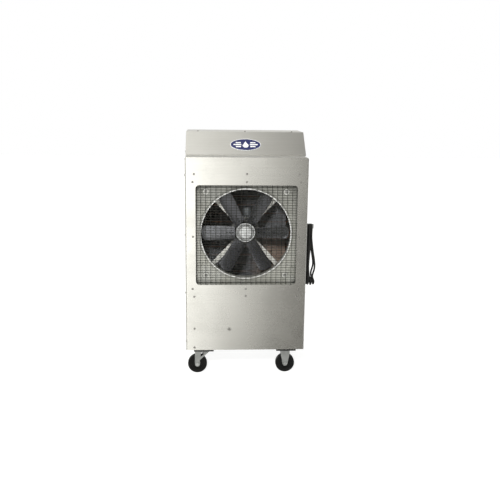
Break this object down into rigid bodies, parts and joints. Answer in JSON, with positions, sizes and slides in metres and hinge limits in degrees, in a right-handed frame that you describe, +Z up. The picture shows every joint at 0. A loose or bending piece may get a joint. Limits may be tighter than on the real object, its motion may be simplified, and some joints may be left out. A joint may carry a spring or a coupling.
{
  "type": "dehumidifier",
  "caption": "Tall commercial dehumidifier: stainless cabinet with sloping hood, square mesh-guarded fan outlet, refrigeration coils inside, rear filter, on two base rails with casters.",
  "frame": {"origin": "centre of the four skid holes, on the underside of the two base rails", "axes": "+X to the machine's left-hand cord side as seen from the front (viewer's right), +Y from the front panel to the rear, +Z up"},
  "size_m": [0.674, 0.5376, 1.2516],
  "materials": {
    "stainless": "brushed stainless sheet with a fine level grain",
    "galvanised": "galvanised sheet with a soft spangle",
    "zinc": "zinc-plated, satin",
    "black_steel": "black paint, satin",
    "badge_blue": "dark blue gloss enamel with a plain pale rim",
    "hub_white": "bright bare aluminium, satin",
    "blade_grey": "dull grey aluminium",
    "motor_grey": "grey paint, satin",
    "capacitor_grey": "drawn aluminium can, matt",
    "shaft_steel": "ground steel",
    "winding_copper": "varnished copper windings",
    "rotor_steel": "stacked steel laminations",
    "copper": "dull copper tube",
    "fin_aluminium": "thin aluminium fins",
    "compressor_black": "black paint, gloss",
    "rubber_black": "moulded rubber, matt",
    "hose_clear": "milky flexible hose",
    "plastic_black": "moulded plastic, fine texture",
    "filter_fibre": "white pleated fibre",
    "filter_aluminium": "mill-finish aluminium channel",
    "lamp_red": "red translucent lens",
    "tyre_black": "black hard rubber"
  },
  "bodies": {
    "cabinet": {"front_panel": "stainless", "left_side_panel": "stainless", "right_side_panel": "stainless", "rear_panel": "stainless", "top_deck": "stainless", "top_hood": "stainless", "base_pan": "galvanised", "cabinet_frame": "galvanised", "mid_shelf": "galvanised", "base_rails": "black_steel", "panel_screws": "zinc", "badge": "badge_blue", "wire_guard": "galvanised", "fan_panel": "galvanised", "motor_mount": "galvanised", "mount_bolts": "zinc", "motor_shell": "motor_grey", "motor_stator": "winding_copper", "motor_bearings": "shaft_steel", "motor_capacitor": "capacitor_grey", "evaporator_core": "fin_aluminium", "evaporator_tubes": "copper", "condenser_core": "fin_aluminium", "condenser_tubes": "copper", "compressor": "compressor_black", "compressor_feet": "rubber_black", "refrigerant_lines": "copper", "filter_drier": "copper", "drip_tray": "galvanised", "drain_hose": "hose_clear", "drain_outlet": "plastic_black", "filter_rails": "stainless", "control_box": "plastic_black", "indicator_lamp": "lamp_red", "power_cord": "rubber_black", "power_plug": "rubber_black", "cord_hook": "zinc", "cord_grip": "plastic_black", "swivel_plates": "zinc", "rigid_forks": "zinc", "rigid_axles": "zinc", "caster_bolts": "zinc"},
    "fan": {"fan_shaft": "shaft_steel", "motor_rotor": "rotor_steel", "fan_hub": "hub_white", "fan_blades": "blade_grey", "blade_rivets": "zinc"},
    "filter": {"filter_frame": "filter_aluminium", "filter_media": "filter_fibre"},
    "rocker": {"power_switch": "plastic_black"},
    "knob": {"humidistat_knob": "plastic_black"},
    "front_fork": {"swivel_fork_front": "zinc", "swivel_axle_front": "zinc"},
    "rear_fork": {"swivel_fork_rear": "zinc", "swivel_axle_rear": "zinc"},
    "front_left_wheel": {"wheel_front_left": "tyre_black"},
    "rear_left_wheel": {"wheel_rear_left": "tyre_black"},
    "front_right_wheel": {"wheel_front_right": "tyre_black"},
    "rear_right_wheel": {"wheel_rear_right": "tyre_black"}
  },
  "joints": [
    {"name": "fan_spin", "type": "hinge", "parent": "cabinet", "child": "fan", "pos_m": [0, -0.16, 0.614], "axis": [0, 1, 0], "continuous": true},
    {"name": "filter_slide", "type": "slide", "parent": "cabinet", "child": "filter", "axis": [0, 0, 1], "range_m": [0, 0.5]},
    {"name": "power_rocker", "type": "hinge", "parent": "cabinet", "child": "rocker", "pos_m": [0.299, 0.03, 0.938], "axis": [0, 1, 0], "range_deg": [-20, 0]},
    {"name": "humidistat_turn", "type": "hinge", "parent": "cabinet", "child": "knob", "pos_m": [0.305, 0.135, 0.933], "axis": [1, 0, 0], "range_deg": [0, 300]},
    {"name": "front_swivel", "type": "hinge", "parent": "cabinet", "child": "front_fork", "pos_m": [-0.212, -0.185, -0.01], "axis": [0, 0, 1], "continuous": true},
    {"name": "rear_swivel", "type": "hinge", "parent": "cabinet", "child": "rear_fork", "pos_m": [-0.212, 0.185, -0.01], "axis": [0, 0, 1], "continuous": true},
    {"name": "front_left_roll", "type": "hinge", "parent": "front_fork", "child": "front_left_wheel", "pos_m": [-0.248, -0.185, -0.082], "axis": [0, 1, 0], "continuous": true},
    {"name": "rear_left_roll", "type": "hinge", "parent": "rear_fork", "child": "rear_left_wheel", "pos_m": [-0.248, 0.185, -0.082], "axis": [0, 1, 0], "continuous": true},
    {"name": "front_right_roll", "type": "hinge", "parent": "cabinet", "child": "front_right_wheel", "pos_m": [0.214, -0.185, -0.082], "axis": [0, 1, 0], "continuous": true},
    {"name": "rear_right_roll", "type": "hinge", "parent": "cabinet", "child": "rear_right_wheel", "pos_m": [0.214, 0.185, -0.082], "axis": [0, 1, 0], "continuous": true}
  ]
}
